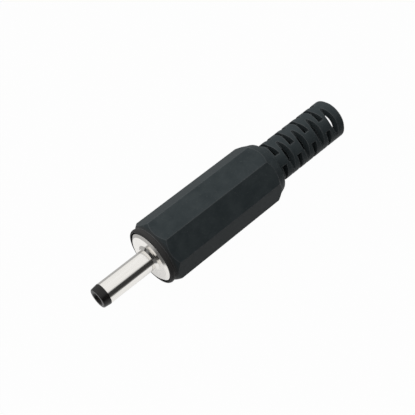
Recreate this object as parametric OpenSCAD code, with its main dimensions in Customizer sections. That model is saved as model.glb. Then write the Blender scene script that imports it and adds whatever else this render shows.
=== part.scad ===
// DC barrel plug, 3.5 mm by 1.35 mm, with a screw-on octagonal cover and strain relief.
// The plug's axis is X, with the tip towards -X and the cable towards +X. It lies on a flat of its
// cover, and the origin is on the axis at the foot of the barrel. Millimetres.

/* [Barrel] */
// Outside diameter of the barrel
barrel_d = 3.5; // [3.4:0.05:4]
// Bore of the barrel
barrel_bore_d = 2.7; // [2.6:0.05:2.9]
// Length of the metal barrel in front of its collar
barrel_l = 8.4; // [6:0.1:10]
// Diameter of the collar where it meets the flange
collar_d = 4.6; // [4.3:0.1:5.5]
// How far the collar stands out of the flange
collar_h = 0.35; // [0.2:0.05:0.6]

/* [Flange and shank] */
// Diameter of the flange
flange_d = 8.5; // [8.2:0.1:8.8]
// Thickness of the flange
flange_t = 1; // [0.7:0.1:1.5]
// Radial width of the flange's front chamfer
flange_chamfer = 0.45; // [0.2:0.05:0.7]
// Diameter of the threaded shank
shank_d = 7; // [6.6:0.1:7.2]
// Length of the threaded shank behind the flange
shank_l = 4.6; // [3.5:0.1:6]
// Pitch of the thread
thread_pitch = 0.5; // [0.4:0.05:0.8]
// Bore of the shank for the rear insulator
shank_bore_d = 4.8; // [4.4:0.1:5.2]

/* [Tip insulator] */
// Length of the insulator's head, in front of the barrel
tip_l = 1.2; // [1:0.05:2.2]
// Diameter of the head at its front face
tip_front_d = 3.3; // [2.5:0.05:3.4]
// How far the head's rear edge stands proud of the barrel
tip_lip = 0.03; // [0:0.01:0.1]
// Length of the insulator's sleeve inside the barrel
tip_sleeve_l = 4; // [2:0.5:5]
// Diameter of the hole in the head
tip_hole_d = 1.65; // [1.5:0.05:1.75]

/* [Centre contact] */
// Bore of the contact, for the jack's centre pin
contact_bore_d = 1.35; // [1.2:0.05:1.4]
// Wall of the contact tube
contact_wall = 0.25; // [0.2:0.05:0.3]
// Depth of the contact's bore
contact_depth = 8.4; // [6:0.2:9]
// Length of the slit that lets the contact spring
slit_l = 5; // [3:0.5:6]
// Width of the slit
slit_w = 0.25; // [0.15:0.05:0.3]
// Diameter of the riveted head on the contact's tail
rivet_d = 2.6; // [2.4:0.1:3]
// Thickness of the riveted head
rivet_t = 0.3; // [0.2:0.05:0.5]

/* [Terminals] */
// Thickness of the stamped sheet
sheet_t = 0.4; // [0.3:0.05:0.5]
// Outside diameter of the sleeve terminal
terminal_d = 6.8; // [6.4:0.1:6.8]
// Width of the terminal's arm
arm_w = 2.6; // [2:0.1:3]
// Length of the arm from the terminal's ring to the cable clamp
arm_l = 7.6; // [7:0.2:10]
// Length of the cable clamp
clamp_l = 4; // [3:0.5:5]
// Angle that the clamp's wings take up round the axis
clamp_angle = 150; // [120:10:180]
// Diameter of the wire holes in both terminals
wire_hole_d = 1; // [0.8:0.1:1.2]
// Distance of the arm's wire hole from the terminal's ring
arm_hole_l = 3; // [2:0.2:5]
// Diameter of the centre lug's ring
lug_d = 3.8; // [3.4:0.1:4.2]
// Length of the centre lug's tab
lug_l = 3.9; // [3:0.1:4.2]
// Width of the centre lug's tab
lug_w = 2; // [1.6:0.1:2.4]

/* [Insulators inside] */
// Diameter of the insulator's spigot through the terminal's ring
spigot_d = 3; // [2.6:0.1:3.2]
// Diameter of the insulating washer
washer_d = 5.2; // [4.8:0.1:5.6]
// Thickness of the insulating washer
washer_t = 0.5; // [0.4:0.1:0.8]

/* [Cover body] */
// Width of the octagon across its flats
cover_af = 9.95; // [9.9:0.05:10.6]
// How far the cover's front edge lies behind the flange's face
cover_setback = 0.2; // [0:0.05:0.4]
// Diameter of the round bead at the front
bead_d = 9.74; // [9.6:0.02:9.8]
// Width of the bead
bead_w = 0.9; // [0.7:0.05:1.1]
// Depth of the valley between the bead and the body
valley_depth = 0.17; // [0.1:0.01:0.25]
// Length of the cone between the valley and the octagon's corners
nose_cone_l = 0.9; // [0.6:0.05:1.2]
// Length from the cover's front edge to where its flats end
body_l = 22.4; // [22:0.1:26]
// Diameter of the round step behind the flats
dome_d = 9.9; // [9.6:0.1:9.9]
// Diameter at the top of the shoulder
shoulder_d = 9.1; // [8.8:0.1:9.4]
// Length of the step from the corners down to the dome
step_l = 0.64; // [0.5:0.02:0.8]
// Length of the dome from the flats to the shoulder
dome_l = 1.7; // [1.4:0.1:2.2]
// Length of the shoulder down to the strain relief
shoulder_l = 0.6; // [0.5:0.05:1.2]

/* [Cover bores] */
// Diameter of the wiring space inside the cover
cavity_d = 7.4; // [7.4:0.1:8]
// Length from the cover's front edge to the end of the wiring space
cavity_l = 21.6; // [21:0.1:22]
// Bore of the strain relief
relief_bore_d = 5; // [4.7:0.1:5.6]
// Diameter of the cable hole at the end
cable_d = 4.6; // [3.4:0.1:4.6]

/* [Strain relief] */
// Outside diameter of the strain relief
relief_d = 6.88; // [6.6:0.02:7.2]
// Number of rings of windows along it
ring_count = 8; // [4:2:8]
// Distance from one ring of windows to the next
ring_pitch = 1.68; // [1.6:0.02:1.9]
// Length of plain neck before the first ring's centre
neck_l = 1.05; // [0.7:0.05:1.4]
// Width of a broad window at the surface
broad_window_w = 1.25; // [1:0.05:1.35]
// Width of a side window at the surface
side_window_w = 1.05; // [0.8:0.05:1.2]
// Depth of a broad window
broad_depth = 1.2; // [0.9:0.05:1.4]
// Depth of the pair of side windows beside a bridge
side_depth = 1.85; // [1.6:0.05:2.4]
// Width of a broad window at its bottom
broad_root_w = 0.3; // [0.2:0.05:0.6]
// Width of a side window at its bottom
side_root_w = 0.4; // [0.2:0.05:0.8]
// Width of the bridge between two side windows
bridge_w = 2; // [1.6:0.1:2.4]
// Turn of the windows about the axis
window_turn = 38; // [0:1:90]
// Length of the plain ring at the end
end_ring_l = 1.55; // [1.4:0.05:2.5]
// Size of the end ring's outer chamfer
end_chamfer = 0.4; // [0.2:0.05:0.6]

/* [Fits] */
// Radial gap between pieces that are pushed together
push_gap = 0.04; // [0.03:0.01:0.06]
// Radial gap between the cover and the screwed core
thread_gap = 0.08; // [0.06:0.01:0.1]
// Radial gap between the flange and its recess in the cover
recess_gap = 0.22; // [0.1:0.02:0.3]

/* [Hidden] */
$fn = 64;

// places along the axis, from the tip to the tail
tip_x = -barrel_l - tip_l;
mouth_x = tip_x + 0.75;
flange_x = collar_h;
seat_x = flange_x + flange_t;
shank_x = seat_x + shank_l;
ring_x = shank_x + sheet_t;
washer_x = ring_x + washer_t;
lug_x = washer_x + sheet_t;
clamp_x = ring_x + arm_l;
cover_x = flange_x + cover_setback;
valley_x = cover_x + bead_w;
flats_x = cover_x + body_l;
shoulder_x = flats_x + dome_l;
neck_x = shoulder_x + shoulder_l;
first_ring_x = neck_x + neck_l;
ring_end_x = first_ring_x + (ring_count - 1) * ring_pitch + broad_window_w / 2;
end_x = ring_end_x + end_ring_l;
cavity_x = cover_x + cavity_l;

// radii that more than one piece uses
corner_r = cover_af / 2 / cos(22.5);
bead_r = bead_d / 2;
relief_r = relief_d / 2;
contact_r = contact_bore_d / 2 + contact_wall;
web_t = 0.6;
bush_x = seat_x + web_t - 0.35;
eps = 0.1;
window_over = 0.3;
shoulder_round = 0.5;

// points along an arc about [cx, cy], from angle a0 to angle a1
function arc(cx, cy, rx, ry, a0, a1, steps = 8) =
    [for (i = [0:steps]) let (a = a0 + (a1 - a0) * i / steps) [cx + rx * cos(a), cy + ry * sin(a)]];

// turns a profile of [x, radius] points about the plug's axis
module turned(points) {
    rotate([0, 90, 0]) rotate_extrude() polygon([for (p = points) [p[1], p[0]]]);
}

// a round bore along the axis, from x0 to x1
module bore(x0, x1, d) {
    translate([x0, 0, 0]) rotate([0, 90, 0]) cylinder(h = x1 - x0, d = d);
}

// an arc of bent sheet about the axis, centred below it
module bent_sheet(x0, length, outer_r, angle) {
    translate([x0, 0, 0])
        rotate([0, 90, 0])
            rotate([0, 0, -angle / 2])
                rotate_extrude(angle = angle)
                    translate([outer_r - sheet_t, 0]) square([sheet_t, length]);
}

// the turned and plated body: barrel, collar, flange and threaded shank in one piece
module barrel() {
    relief_groove = 0.25;
    lead = 0.3;
    shank_r = shank_d / 2;
    color("silver") difference() {
        turned([
            [-barrel_l, 0], [-barrel_l, barrel_d / 2 - 0.08], [-barrel_l + 0.08, barrel_d / 2],
            [0, barrel_d / 2], [0, barrel_d / 2 + 0.15], [flange_x, collar_d / 2],
            [flange_x, flange_d / 2 - flange_chamfer], [flange_x + flange_chamfer * 0.6, flange_d / 2],
            [seat_x, flange_d / 2], [seat_x, shank_r - relief_groove],
            [seat_x + thread_pitch, shank_r - relief_groove], [seat_x + thread_pitch + relief_groove, shank_r],
            [shank_x - lead, shank_r], [shank_x, shank_r - lead], [shank_x, 0]
        ]);
        bore(-barrel_l - eps, seat_x + web_t, barrel_bore_d);
        bore(seat_x + web_t - 0.01, shank_x + eps, shank_bore_d);
    }
}

// the black bush in the barrel's mouth, with the lead-in to the contact
module tip_insulator() {
    head_r = barrel_d / 2 + tip_lip;
    front_r = tip_front_d / 2;
    sleeve_r = barrel_bore_d / 2 - push_gap;
    edge_r = 0.15;
    color("#1c1b1b") difference() {
        turned(concat(
            [[tip_x, 0], [tip_x, front_r - edge_r]],
            arc(tip_x + edge_r, front_r - edge_r, edge_r, edge_r, 180, 100, 5),
            [[-barrel_l, head_r], [-barrel_l, sleeve_r], [-barrel_l + tip_sleeve_l, sleeve_r],
             [-barrel_l + tip_sleeve_l, 0]]
        ));
        turned([
            [tip_x - eps, 0], [tip_x - eps, tip_hole_d / 2 + 0.3 + eps], [tip_x + 0.3, tip_hole_d / 2],
            [mouth_x - push_gap, tip_hole_d / 2], [mouth_x - push_gap, contact_r + push_gap],
            [-barrel_l + tip_sleeve_l + eps, contact_r + push_gap], [-barrel_l + tip_sleeve_l + eps, 0]
        ]);
    }
}

// the spring tube that takes the jack's centre pin, riveted over at its tail
module centre_contact() {
    color("#c8a24a") difference() {
        union() {
            turned([
                [mouth_x, 0], [mouth_x, contact_r - 0.06], [mouth_x + 0.1, contact_r],
                [lug_x, contact_r], [lug_x, rivet_d / 2 - 0.1], [lug_x + 0.1, rivet_d / 2],
                [lug_x + rivet_t - 0.1, rivet_d / 2], [lug_x + rivet_t, rivet_d / 2 - 0.1],
                [lug_x + rivet_t, 0]
            ]);
        }
        bore(mouth_x - eps, mouth_x + contact_depth, contact_bore_d);
        translate([mouth_x - eps, -contact_r - eps, -slit_w / 2])
            cube([slit_l + eps, 2 * (contact_r + eps), slit_w]);
    }
}

// the bush in the shank that keeps the contact off the metal body
module rear_insulator() {
    nose_l = 1.4;
    color("#d8d2c0") difference() {
        turned([
            [bush_x - nose_l, 0], [bush_x - nose_l, barrel_bore_d / 2 - push_gap],
            [seat_x + web_t, barrel_bore_d / 2 - push_gap],
            [seat_x + web_t, shank_bore_d / 2 - push_gap], [shank_x, shank_bore_d / 2 - push_gap],
            [shank_x, spigot_d / 2], [ring_x, spigot_d / 2], [ring_x, 0]
        ]);
        bore(bush_x - nose_l - eps, ring_x + eps, 2 * (contact_r + push_gap));
    }
}

// the stamped terminal of the sleeve: a ring, an arm with a wire hole, and a cable clamp
module sleeve_terminal() {
    outer_r = terminal_d / 2;
    arm_z = -sqrt(pow(outer_r, 2) - pow(arm_w / 2, 2));
    color("gainsboro") difference() {
        union() {
            bore(shank_x, ring_x, terminal_d);
            translate([shank_x, -arm_w / 2, arm_z]) cube([clamp_x + sheet_t - shank_x, arm_w, sheet_t]);
            bent_sheet(clamp_x, clamp_l, outer_r, clamp_angle);
        }
        bore(shank_x - eps, ring_x + eps, spigot_d + 2 * push_gap);
        translate([ring_x + arm_hole_l, 0, arm_z - eps]) cylinder(h = sheet_t + 2 * eps, d = wire_hole_d);
    }
}

// the washer between the two terminals
module insulating_washer() {
    color("#7a4a2a") difference() {
        bore(ring_x, washer_x, washer_d);
        bore(ring_x - eps, washer_x + eps, 2 * (contact_r + push_gap));
    }
}

// the stamped terminal of the centre contact: a ring and a bent solder tab with a wire hole
module centre_lug() {
    ring_r = lug_d / 2;
    color("#d9c48a") difference() {
        union() {
            bore(washer_x, lug_x, lug_d);
            translate([washer_x, -lug_w / 2, ring_r - sheet_t]) cube([lug_l, lug_w, sheet_t]);
        }
        bore(washer_x - eps, lug_x + eps, 2 * (contact_r + push_gap));
        translate([washer_x + lug_l - wire_hole_d, 0, ring_r - sheet_t - eps])
            cylinder(h = sheet_t + 2 * eps, d = wire_hole_d);
    }
}

// the round form that trims the octagon: bead, nose cone, dome, shoulder and strain relief
module cover_form() {
    bead_h = 0.33;
    valley_r = bead_r - valley_depth;
    past_corner = corner_r + 0.2;
    slope = (corner_r - valley_r) / nose_cone_l;
    turned(concat(
        [[cover_x, 0]],
        arc(cover_x + bead_w / 2, bead_r - bead_h, bead_w / 2, bead_h, 180, 50),
        [[valley_x, valley_r], [valley_x + (past_corner - valley_r) / slope, past_corner],
         [flats_x - (past_corner - corner_r), past_corner]],
        [[flats_x + step_l, dome_d / 2]],
        arc(shoulder_x - 0.1, shoulder_d / 2 - shoulder_round, shoulder_round, shoulder_round, 80, 35, 4),
        [[neck_x - 0.12, relief_r + 0.17], [neck_x, relief_r + 0.05], [neck_x + 0.15, relief_r]],
        [[end_x - end_chamfer, relief_r], [end_x, relief_r - end_chamfer], [end_x, 0]]
    ));
}

// a tapered blade that cuts a window: it comes in from +Z to a depth below the surface
module window_blade(window_w, depth, root_w, y0, y1) {
    top_z = relief_r + window_over;
    root_z = relief_r - depth;
    top_w = root_w + (window_w - root_w) * (top_z - root_z) / depth;
    translate([0, y1, 0]) rotate([90, 0, 0]) linear_extrude(height = y1 - y0)
        polygon([[-top_w / 2, top_z], [top_w / 2, top_z], [root_w / 2, root_z], [-root_w / 2, root_z]]);
}

// one ring of windows, cut from three sides: a broad one each, or a pair beside a bridge
module window_ring(broad) {
    outside = relief_r + window_over;
    for (side = [0:120:240]) rotate([side, 0, 0]) {
        if (broad) {
            window_blade(broad_window_w, broad_depth, broad_root_w, -outside, outside);
        } else {
            window_blade(side_window_w, side_depth, side_root_w, bridge_w / 2, outside);
            window_blade(side_window_w, side_depth, side_root_w, -outside, -bridge_w / 2);
        }
    }
}

// the moulded cover: octagonal grip and slotted strain relief in one piece
module cover() {
    flange_fit_d = flange_d + 2 * recess_gap;
    thread_fit_d = shank_d + 2 * thread_gap;
    thread_end_x = shank_x + 2 * thread_pitch;
    color("#22262a") difference() {
        intersection() {
            cover_form();
            rotate([0, 90, 0]) rotate([0, 0, 22.5])
                translate([0, 0, cover_x - eps]) cylinder(h = end_x - cover_x + 2 * eps, r = corner_r, $fn = 8);
        }
        bore(cover_x - eps, seat_x, flange_fit_d);
        bore(seat_x - eps, thread_end_x, thread_fit_d);
        turned([
            [thread_end_x - 0.01, 0], [thread_end_x - 0.01, cavity_d / 2], [cavity_x, cavity_d / 2],
            [cavity_x + (cavity_d - relief_bore_d) / 2, relief_bore_d / 2],
            [ring_end_x, relief_bore_d / 2], [ring_end_x, 0]
        ]);
        bore(ring_end_x - eps, end_x + eps, cable_d);
        for (i = [0:ring_count - 1])
            translate([first_ring_x + i * ring_pitch, 0, 0]) rotate([window_turn, 0, 0]) window_ring(i % 2 == 1);
    }
}

cover();
barrel();
tip_insulator();
centre_contact();
rear_insulator();
sleeve_terminal();
insulating_washer();
centre_lug();
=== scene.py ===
"""A 3.5 mm DC barrel plug lying on a white table.

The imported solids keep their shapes. This script adds the shank's thread, the materials, the light
and the camera. Lengths are in metres, apart from the camera's lens and sensor.
"""
import math

import bpy
from mathutils import Matrix, Vector


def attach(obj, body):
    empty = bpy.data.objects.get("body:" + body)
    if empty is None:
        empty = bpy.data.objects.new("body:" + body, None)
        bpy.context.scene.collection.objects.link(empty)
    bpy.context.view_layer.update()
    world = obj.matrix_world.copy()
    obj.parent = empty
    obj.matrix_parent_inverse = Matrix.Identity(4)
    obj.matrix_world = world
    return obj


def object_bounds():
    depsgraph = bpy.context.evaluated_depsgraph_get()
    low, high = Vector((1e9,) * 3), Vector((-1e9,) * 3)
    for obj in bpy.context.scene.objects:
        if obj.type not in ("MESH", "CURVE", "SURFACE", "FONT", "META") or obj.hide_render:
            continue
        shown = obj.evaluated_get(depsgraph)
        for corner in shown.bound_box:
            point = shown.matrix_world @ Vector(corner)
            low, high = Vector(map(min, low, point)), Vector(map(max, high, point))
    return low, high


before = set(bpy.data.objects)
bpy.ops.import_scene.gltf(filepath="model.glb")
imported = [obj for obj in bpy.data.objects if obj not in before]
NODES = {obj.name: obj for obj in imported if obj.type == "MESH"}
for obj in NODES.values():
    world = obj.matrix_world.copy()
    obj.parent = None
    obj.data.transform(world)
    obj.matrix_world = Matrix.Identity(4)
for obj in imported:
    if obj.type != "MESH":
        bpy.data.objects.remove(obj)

CAD_BOX = [list(corner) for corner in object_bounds()]
MM = 0.001


# ---- camera: on the tip's side of the plug, above it ----

CAMERA_AZIMUTH = -40.81    # degrees, as are the next two
CAMERA_ELEVATION = 53.55
CAMERA_ROLL = -3.01
CAMERA_DISTANCE = 138.87 * MM
CAMERA_LENS = 78.05        # in millimetres, as Blender takes it
CAMERA_SENSOR = 36         # in millimetres too
CAMERA_NEAR = 5 * MM
CAMERA_FAR = 20
LOOK_AT = Vector((12.845, 0.602, 0.336)) * MM


def make_camera():
    """Looks at LOOK_AT from CAMERA_DISTANCE. Azimuth 0 is on the -Y side."""
    azimuth, elevation = math.radians(CAMERA_AZIMUTH), math.radians(CAMERA_ELEVATION)
    flat = math.cos(elevation)
    back = Vector((math.sin(azimuth) * flat, -math.cos(azimuth) * flat, math.sin(elevation)))
    right = Vector((math.cos(azimuth), math.sin(azimuth), 0))
    right.rotate(Matrix.Rotation(math.radians(CAMERA_ROLL), 3, back))
    up = back.cross(right)
    data = bpy.data.cameras.new("camera")
    data.lens = CAMERA_LENS
    data.sensor_width = CAMERA_SENSOR
    data.clip_start = CAMERA_NEAR
    data.clip_end = CAMERA_FAR
    camera = bpy.data.objects.new("camera", data)
    turn = Matrix((right, up, back)).transposed().to_4x4()
    camera.matrix_world = Matrix.Translation(LOOK_AT + back * CAMERA_DISTANCE) @ turn
    bpy.context.scene.collection.objects.link(camera)
    bpy.context.scene.camera = camera


# ---- node trees ----

class Nodes:
    """A node tree that is built by short calls, on a material or the world."""

    def __init__(self, owner, output):
        owner.use_nodes = True
        self.tree = owner.node_tree
        self.tree.nodes.clear()
        self.output = self.add(output).inputs["Surface"]

    def add(self, kind, **settings):
        node = self.tree.nodes.new(kind)
        for key, value in settings.items():
            setattr(node, key, value)
        return node

    def join(self, source, target):
        self.tree.links.new(source, target)

    def put(self, value, target):
        """Gives an input a socket to read, or a fixed value."""
        if isinstance(value, bpy.types.NodeSocket):
            self.join(value, target)
        else:
            target.default_value = value

    def span(self, value, source, target=(0, 1)):
        """Maps a value from the source range to the target range, held at the ends."""
        node = self.add("ShaderNodeMapRange")
        for ends, pair in (("From", source), ("To", target)):
            for end, number in zip(("Min", "Max"), pair):
                node.inputs[f"{ends} {end}"].default_value = number
        self.join(value, node.inputs["Value"])
        return node.outputs["Result"]

    def dot(self, first, second):
        """The dot product of two vectors, the second a tuple or a socket."""
        node = self.add("ShaderNodeVectorMath", operation="DOT_PRODUCT")
        self.join(first, node.inputs[0])
        self.put(second, node.inputs[1])
        return node.outputs["Value"]

    def combine(self, operation, first, second):
        """Joins two numbers by a Math node's operation."""
        node = self.add("ShaderNodeMath", operation=operation)
        self.join(first, node.inputs[0])
        self.join(second, node.inputs[1])
        return node.outputs[0]

    def show(self, factor, usual, other):
        """Sends a mix of two shaders to the output: the other one where factor is 1."""
        node = self.add("ShaderNodeMixShader")
        for value, target in zip((factor, usual, other), node.inputs):
            self.join(value, target)
        self.join(node.outputs[0], self.output)


class Shader(Nodes):
    """A material with one Principled surface. Its textures are placed in object space."""

    BUMP_SAMPLES = 8
    EDGE_SAMPLES = 6
    SHARP_EDGE = 0.93  # rounded and true normals' dot product where an edge counts as sharp

    def __init__(self, name):
        self.material = bpy.data.materials.new(name)
        super().__init__(self.material, "ShaderNodeOutputMaterial")
        self.bsdf = self.add("ShaderNodeBsdfPrincipled")
        self.join(self.bsdf.outputs[0], self.output)
        self.place = self.add("ShaderNodeTexCoord").outputs["Object"]

    def set(self, **values):
        """Gives inputs of the surface, such as Base_Color, a socket or a fixed value."""
        for key, value in values.items():
            self.put(value, self.bsdf.inputs[key.replace("_", " ")])

    def noise(self, size, detail=3.0, roughness=0.5, stretch=(1, 1, 1)):
        """Noise from 0 to 1 whose blobs are about size across. A low stretch makes them long."""
        mapping = self.add("ShaderNodeMapping")
        mapping.inputs["Scale"].default_value = stretch
        self.join(self.place, mapping.inputs["Vector"])
        node = self.add("ShaderNodeTexNoise")
        node.inputs["Scale"].default_value = 1 / size
        node.inputs["Detail"].default_value = detail
        node.inputs["Roughness"].default_value = roughness
        self.join(mapping.outputs["Vector"], node.inputs["Vector"])
        return node.outputs["Fac"]

    def blend(self, factor, first, second):
        """Mixes two colours, each a tuple or a socket."""
        node = self.add("ShaderNodeMix", data_type="RGBA")
        self.join(factor, node.inputs["Factor"])
        for value, key in ((first, "A"), (second, "B")):
            socket = [s for s in node.inputs if s.name == key and s.type == "RGBA"][0]
            self.put((*value, 1) if isinstance(value, tuple) else value, socket)
        return [s for s in node.outputs if s.type == "RGBA"][0]

    def rounded(self, radius, samples):
        """The surface's normal, as if its edges were rounded to a radius."""
        node = self.add("ShaderNodeBevel", samples=samples)
        node.inputs["Radius"].default_value = radius
        return node.outputs["Normal"]

    def near_edge(self, radius):
        """1 on a sharp edge, fading to 0 at about radius from it."""
        true_normal = self.add("ShaderNodeNewGeometry").outputs["Normal"]
        likeness = self.dot(self.rounded(radius, self.EDGE_SAMPLES), true_normal)
        return self.span(likeness, (1, self.SHARP_EDGE))

    def bump(self, heights, edge_radius):
        """Stacks (height, distance, strength) bumps over edges rounded to edge_radius."""
        normal = self.rounded(edge_radius, self.BUMP_SAMPLES)
        for height, distance, strength in heights:
            node = self.add("ShaderNodeBump")
            node.inputs["Distance"].default_value = distance
            node.inputs["Strength"].default_value = strength
            self.join(height, node.inputs["Height"])
            self.join(normal, node.inputs["Normal"])
            normal = node.outputs["Normal"]
        self.set(Normal=normal)


# ---- materials ----

def cover_plastic():
    """Cool black moulding, warmer on the front bead, paler in flecks, and paler at sharp edges,
    partly from wear and partly as a painted highlight.
    """
    black, dark_grey = (0.030, 0.038, 0.041), (0.041, 0.050, 0.053)
    # the grey at sharp edges stands for edge wear and for a painted highlight
    fleck_grey, edge_wear_and_highlight_grey = (0.07, 0.075, 0.078), (0.11, 0.115, 0.118)
    warm_black = (0.042, 0.038, 0.036)
    bead_end = (1.4 * MM, 1.9 * MM)
    s = Shader("cover_plastic")
    blotch = s.noise(2.2 * MM, detail=4, roughness=0.6)
    grain = s.noise(0.16 * MM, detail=2)
    fleck = s.noise(0.3 * MM, detail=1)
    along = s.add("ShaderNodeSeparateXYZ")
    s.join(s.place, along.inputs[0])
    base = s.blend(s.span(blotch, (0.35, 0.65)), black, dark_grey)
    base = s.blend(s.span(fleck, (0.66, 0.75), (0, 0.4)), base, fleck_grey)
    base = s.blend(s.span(along.outputs["X"], bead_end, (0.75, 0)), base, warm_black)
    # paler at sharp edges: partly edge wear, partly a painted highlight
    base = s.blend(s.span(s.near_edge(0.25 * MM), (0, 1), (0, 0.6)), base, edge_wear_and_highlight_grey)
    s.set(Base_Color=base, Roughness=s.span(blotch, (0.3, 0.7), (0.4, 0.5)),
          IOR=1.3, Specular_IOR_Level=0.12)
    s.bump([(blotch, 0.04 * MM, 0.25), (grain, 0.008 * MM, 0.5)], edge_radius=0.1 * MM)
    return s.material


def nickel_plate():
    """Bright plate on turned metal, with faint streaks along the plug."""
    warm_grey, pale_grey = (0.80, 0.78, 0.74), (0.86, 0.84, 0.81)
    s = Shader("nickel_plate")
    streak = s.noise(0.22 * MM, detail=3, stretch=(0.03, 1, 1))
    cloud = s.noise(1.8 * MM, detail=3)
    s.set(Base_Color=s.blend(s.span(streak, (0.35, 0.65)), warm_grey, pale_grey),
          Metallic=1.0, Roughness=s.span(cloud, (0.3, 0.7), (0.1, 0.17)))
    s.bump([(streak, 0.004 * MM, 0.35), (cloud, 0.02 * MM, 0.2)], edge_radius=0.04 * MM)
    return s.material


def tip_plastic():
    """Black plastic, smoother and darker than the cover's."""
    black, off_black = (0.008, 0.007, 0.007), (0.013, 0.012, 0.011)
    s = Shader("tip_plastic")
    cloud = s.noise(0.9 * MM, detail=3)
    grain = s.noise(0.12 * MM, detail=2)
    s.set(Base_Color=s.blend(s.span(cloud, (0.3, 0.7)), black, off_black),
          Roughness=s.span(cloud, (0.3, 0.7), (0.3, 0.4)), Specular_IOR_Level=0.3)
    s.bump([(grain, 0.006 * MM, 0.4)], edge_radius=0.05 * MM)
    return s.material


def contact_brass():
    """Drawn brass, tarnished in patches."""
    brass, tarnished = (0.78, 0.58, 0.28), (0.52, 0.36, 0.17)
    s = Shader("contact_brass")
    streak = s.noise(0.12 * MM, detail=3, stretch=(0.05, 1, 1))
    tarnish = s.noise(1.2 * MM, detail=4)
    s.set(Base_Color=s.blend(s.span(tarnish, (0.45, 0.7), (0, 0.6)), brass, tarnished),
          Metallic=1.0, Roughness=s.span(streak, (0.3, 0.7), (0.2, 0.34)))
    s.bump([(streak, 0.004 * MM, 0.4)], edge_radius=0.03 * MM)
    return s.material


def insulator_plastic():
    """Natural, uncoloured plastic."""
    dull_cream, cream = (0.56, 0.53, 0.45), (0.66, 0.63, 0.55)
    s = Shader("insulator_plastic")
    cloud = s.noise(1.5 * MM, detail=4)
    grain = s.noise(0.1 * MM, detail=2)
    s.set(Base_Color=s.blend(s.span(cloud, (0.3, 0.7)), dull_cream, cream),
          Roughness=s.span(grain, (0.3, 0.7), (0.45, 0.58)))
    s.bump([(grain, 0.006 * MM, 0.5)], edge_radius=0.06 * MM)
    return s.material


def tinned_sheet():
    """Stamped sheet metal under a clouded coat of tin, with rolling marks along the plug."""
    dull_tin, bright_tin = (0.58, 0.58, 0.56), (0.72, 0.72, 0.70)
    s = Shader("tinned_sheet")
    rolled = s.noise(0.14 * MM, detail=4, stretch=(0.08, 1, 1))
    bloom = s.noise(0.8 * MM, detail=5, roughness=0.65)
    s.set(Base_Color=s.blend(s.span(bloom, (0.35, 0.65)), dull_tin, bright_tin),
          Metallic=1.0, Roughness=s.span(bloom, (0.3, 0.7), (0.26, 0.42)))
    s.bump([(rolled, 0.006 * MM, 0.4)], edge_radius=0.05 * MM)
    return s.material


def washer_fibre():
    """Brown pressed fibre."""
    dark_brown, brown = (0.17, 0.075, 0.035), (0.28, 0.14, 0.07)
    s = Shader("washer_fibre")
    fibre = s.noise(0.08 * MM, detail=4, stretch=(1, 0.25, 1))
    s.set(Base_Color=s.blend(s.span(fibre, (0.3, 0.7)), dark_brown, brown), Roughness=0.7)
    s.bump([(fibre, 0.012 * MM, 0.6)], edge_radius=0.04 * MM)
    return s.material


def dress(materials):
    """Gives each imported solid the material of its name."""
    for name, node in NODES.items():
        node.data.materials.clear()
        node.data.materials.append(materials[name])


# ---- the thread on the shank, inside the cover until that is drawn back ----

SHANK_RADIUS = 3.5 * MM
SHANK_START = 2.2 * MM
SHANK_END = 5.5 * MM
THREAD_PITCH = 0.5 * MM
THREAD_HEIGHT = 0.055 * MM
THREAD_ROOT = 0.03 * MM
THREAD_STEPS = 48      # straight pieces in a turn
THREAD_RUN_OUT = 0.25  # turns over which the crest rises from nothing at each end
FOOT_HALF = 0.42       # half the ridge's width at its foot, in pitches
CREST_HALF = 0.08      # half its width at the crest, in pitches


def make_thread(material):
    """A helical ridge round the shank, with its foot sunk in the metal and its ends run out."""
    count = int((SHANK_END - SHANK_START) / THREAD_PITCH * THREAD_STEPS)
    run_out = THREAD_RUN_OUT * THREAD_STEPS
    foot = SHANK_RADIUS - THREAD_ROOT
    verts = []
    for i in range(count + 1):
        angle = 2 * math.pi * i / THREAD_STEPS
        middle = SHANK_START + THREAD_PITCH * i / THREAD_STEPS
        crest = SHANK_RADIUS + THREAD_HEIGHT * min(1, i / run_out, (count - i) / run_out)
        section = ((-FOOT_HALF, foot), (-CREST_HALF, crest), (CREST_HALF, crest), (FOOT_HALF, foot))
        for shift, radius in section:
            verts.append((middle + shift * THREAD_PITCH,
                          radius * math.cos(angle), radius * math.sin(angle)))
    size = len(section)
    faces = []
    for start in range(0, size * count, size):
        for k in range(size):
            after = (k + 1) % size
            faces.append((start + k, start + size + k, start + size + after, start + after))
    faces.append(tuple(range(size)))
    faces.append(tuple(size * count + k for k in reversed(range(size))))
    mesh = bpy.data.meshes.new("shank_thread")
    mesh.from_pydata(verts, [], faces)
    mesh.materials.append(material)
    thread = bpy.data.objects.new("shank_thread", mesh)
    bpy.context.scene.collection.objects.link(thread)
    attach(thread, "core")


# ---- table, light and surroundings ----

# The studio's dark band is level along X and leans up on the -Y side. Heights in the studio, and
# the slope of rays that meet the table, are measured along BAND_UP.
LEAN = math.radians(20)
BAND_UP = (0, math.sin(LEAN), math.cos(LEAN))

TABLE_HALF = 1.5
TABLE_GREY = (0.22, 0.22, 0.22, 1)
GLOW_SHARE = 0.98               # the rest is the lit table, which holds the shadow
GRAZED_LEVEL = 0.14             # glow to mirrored rays that graze the table
GRAZED_TO_STEEP = (0.46, 0.56)  # slopes between which that glow rises to full
FAR_SIDE_LEVEL = 0.5            # least glow to mirrored rays that run towards +Y
FAR_TO_NEAR_SIDE = (-0.3, 0)    # Y of a ray's way back, between which that least glow ends
COVERED_SHARE = 0.45            # of the glow where the plug stands over the table
COVERED_TO_OPEN = (0.15, 0.6)   # shares of open sky between which that share rises to all
COVER_REACH = 12 * MM           # how near the plug has to be to take sky away

# (height from 0 at the bottom to 1 at the top, brightness)
STUDIO_LEVELS = (
    (0.0, 0.9), (0.3, 0.9), (0.33, 0.04), (0.66, 0.04), (0.71, 0.7), (0.8, 1.0), (1.0, 1.0))

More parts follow.
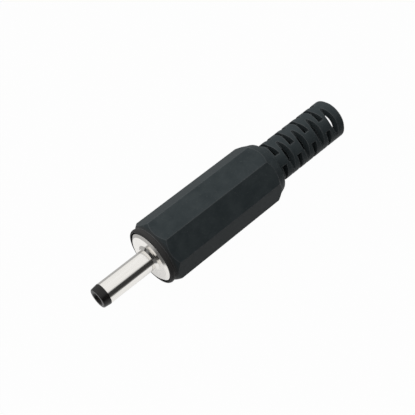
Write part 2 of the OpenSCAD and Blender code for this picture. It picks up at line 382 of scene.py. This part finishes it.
KEY_OFFSET = Vector((0.05, 0.35, 0.4))
KEY_SIZE = 0.35
KEY_LEVEL = 2.0        # brightness of the panel's face, where 1 is white


def make_floor():
    """A table that is white to the camera, and that bright metal sees partly dark.

    To mirrored rays it is a painted reflection: a glow that is white where they meet it steeply,
    dark where they graze it, half bright on the +Y side, and dimmer under the plug in a painted
    shadow. To diffuse light it is a plain grey.
    """
    height = CAD_BOX[0][2]
    signs = ((-1, -1), (1, -1), (1, 1), (-1, 1))
    corners = [(x * TABLE_HALF, y * TABLE_HALF, height) for x, y in signs]
    mesh = bpy.data.meshes.new("table")
    mesh.from_pydata(corners, [], [(0, 1, 2, 3)])
    table = bpy.data.objects.new("table", mesh)
    bpy.context.scene.collection.objects.link(table)
    s = Shader("table_white")
    s.set(Base_Color=TABLE_GREY, Roughness=0.9, Specular_IOR_Level=0.1)
    path = s.add("ShaderNodeLightPath")
    incoming = s.add("ShaderNodeNewGeometry").outputs["Incoming"]
    side = s.add("ShaderNodeSeparateXYZ")
    s.join(incoming, side.inputs[0])
    open_sky = s.add("ShaderNodeAmbientOcclusion", samples=6)
    open_sky.inputs["Distance"].default_value = COVER_REACH
    # painted reflection: the glow that mirrored rays see is dark where they graze the table and
    # half bright towards +Y
    steep = s.span(s.dot(incoming, BAND_UP), GRAZED_TO_STEEP, (GRAZED_LEVEL, 1))
    far_side = s.span(side.outputs["Y"], FAR_TO_NEAR_SIDE, (FAR_SIDE_LEVEL, 0))
    # painted shadow: the glow dims where the plug takes sky away from the table
    uncovered = s.span(open_sky.outputs["AO"], COVERED_TO_OPEN, (COVERED_SHARE, 1))
    mirrored = s.combine("MULTIPLY", s.combine("MAXIMUM", steep, far_side), uncovered)
    glow = s.add("ShaderNodeEmission")
    s.join(s.combine("MAXIMUM", path.outputs["Is Camera Ray"], mirrored), glow.inputs["Strength"])
    watched = s.combine("MAXIMUM", path.outputs["Is Camera Ray"], path.outputs["Is Glossy Ray"])
    s.show(s.span(watched, (0, 1), (0, GLOW_SHARE)), s.bsdf.outputs[0], glow.outputs[0])
    table.data.materials.append(s.material)


def make_world():
    """White to the camera. To all else a studio: lit overhead, with a dark band round it."""
    world = bpy.data.worlds.new("studio")
    bpy.context.scene.world = world
    tree = Nodes(world, "ShaderNodeOutputWorld")
    direction = tree.add("ShaderNodeTexCoord").outputs["Generated"]
    ramp = tree.add("ShaderNodeValToRGB")
    stops = ramp.color_ramp.elements
    stops[0].position = STUDIO_LEVELS[0][0]
    stops[-1].position = STUDIO_LEVELS[-1][0]
    for position, _ in STUDIO_LEVELS[1:-1]:
        stops.new(position)
    for stop, (_, level) in zip(stops, STUDIO_LEVELS):
        stop.color = (level, level, level, 1)
    tree.join(tree.span(tree.dot(direction, BAND_UP), (-1, 1)), ramp.inputs[0])
    studio = tree.add("ShaderNodeBackground")
    tree.join(ramp.outputs[0], studio.inputs["Color"])
    white = tree.add("ShaderNodeBackground")
    white.inputs["Color"].default_value = (1, 1, 1, 1)
    to_camera = tree.add("ShaderNodeLightPath").outputs["Is Camera Ray"]
    tree.show(to_camera, studio.outputs[0], white.outputs[0])


def make_key_light():
    """A soft square panel above the +Y side, which metal doesn't mirror."""
    middle = (Vector(CAD_BOX[0]) + Vector(CAD_BOX[1])) / 2
    place = middle + KEY_OFFSET
    data = bpy.data.lights.new("key", "AREA")
    data.shape = "RECTANGLE"
    data.size = data.size_y = KEY_SIZE
    data.energy = KEY_LEVEL * math.pi * KEY_SIZE * KEY_SIZE
    light = bpy.data.objects.new("key", data)
    light.location = place
    light.rotation_mode = "QUATERNION"
    light.rotation_quaternion = (middle - place).to_track_quat("-Z", "Y")
    light.visible_glossy = False
    bpy.context.scene.collection.objects.link(light)


make_camera()
make_floor()
make_world()
make_key_light()
plate = nickel_plate()
dress({
    "cover": cover_plastic(),
    "barrel": plate,
    "tip_insulator": tip_plastic(),
    "centre_contact": contact_brass(),
    "rear_insulator": insulator_plastic(),
    "sleeve_terminal": tinned_sheet(),
    "insulating_washer": washer_fibre(),
    "centre_lug": tinned_sheet(),
})
make_thread(plate)
bpy.context.scene.view_settings.view_transform = "Standard"
